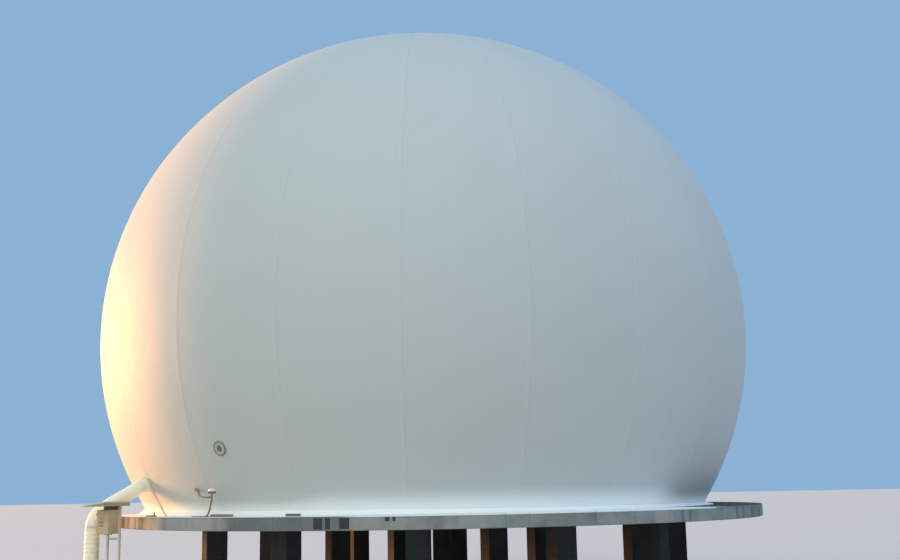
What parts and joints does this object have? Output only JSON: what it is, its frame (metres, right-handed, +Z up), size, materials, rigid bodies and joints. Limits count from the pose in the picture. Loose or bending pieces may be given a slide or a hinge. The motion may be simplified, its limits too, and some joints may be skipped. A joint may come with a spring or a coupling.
{
  "type": "double membrane gas holder on a columned deck",
  "caption": "Air-supported double membrane gas holder: a ball of coated fabric clamped to a round concrete deck on columns, with its support-air duct, blower and control cabinet.",
  "frame": {"origin": "foot of the deck's centre column, on the ground", "axes": "+Z up, -Y towards the viewer, with the air duct and cabinet on the -X side at the front"},
  "size_m": [15.1237, 14.9674, 13.274],
  "materials": {
    "coated_fabric": "satin coated fabric",
    "fabric_patch": "satin coated fabric",
    "inner_fabric": "matt coated fabric",
    "hose_fabric": "matt coated fabric",
    "deck_concrete": "board-marked concrete",
    "column_concrete": "rough concrete",
    "galvanised": "galvanised steel",
    "pale_steel": "faded beige paint",
    "dark_steel": "weathered dark steel",
    "blower_paint": "blue-grey paint",
    "window_frame": "matt rubber",
    "window_glass": "dark clear acrylic"
  },
  "bodies": {
    "root": {"air_inlet_cuff": "fabric_patch", "air_sleeve": "hose_fabric", "blower_inlet": "galvanised", "blower_motor": "blower_paint", "blower_outlet": "blower_paint", "blower_scroll": "blower_paint", "blower_skid": "dark_steel", "cabinet_door": "pale_steel", "cabinet_post_left": "pale_steel", "cabinet_post_right": "pale_steel", "cabinet_rail": "pale_steel", "clamp_ring": "galvanised", "column_centre": "column_concrete", "column_inner_1": "column_concrete", "column_inner_2": "column_concrete", "column_inner_3": "column_concrete", "column_inner_4": "column_concrete", "column_outer_1": "column_concrete", "column_outer_10": "column_concrete", "column_outer_11": "column_concrete", "column_outer_12": "column_concrete", "column_outer_2": "column_concrete", "column_outer_3": "column_concrete", "column_outer_4": "column_concrete", "column_outer_5": "column_concrete", "column_outer_6": "column_concrete", "column_outer_7": "column_concrete", "column_outer_8": "column_concrete", "column_outer_9": "column_concrete", "control_cabinet": "pale_steel", "crown_cap": "fabric_patch", "deck_slab": "deck_concrete", "duct_riser": "hose_fabric", "edge_channel_long": "galvanised", "edge_channel_short": "galvanised", "floor_membrane": "inner_fabric", "foot_hem": "fabric_patch", "inlet_stay": "dark_steel", "inner_membrane": "inner_fabric", "membrane_tap": "dark_steel", "outer_membrane": "coated_fabric", "rain_roof": "dark_steel", "sight_window_frame": "window_frame", "sight_window_glass": "window_glass", "vent_pipe": "dark_steel"}
  },
  "joints": []
}
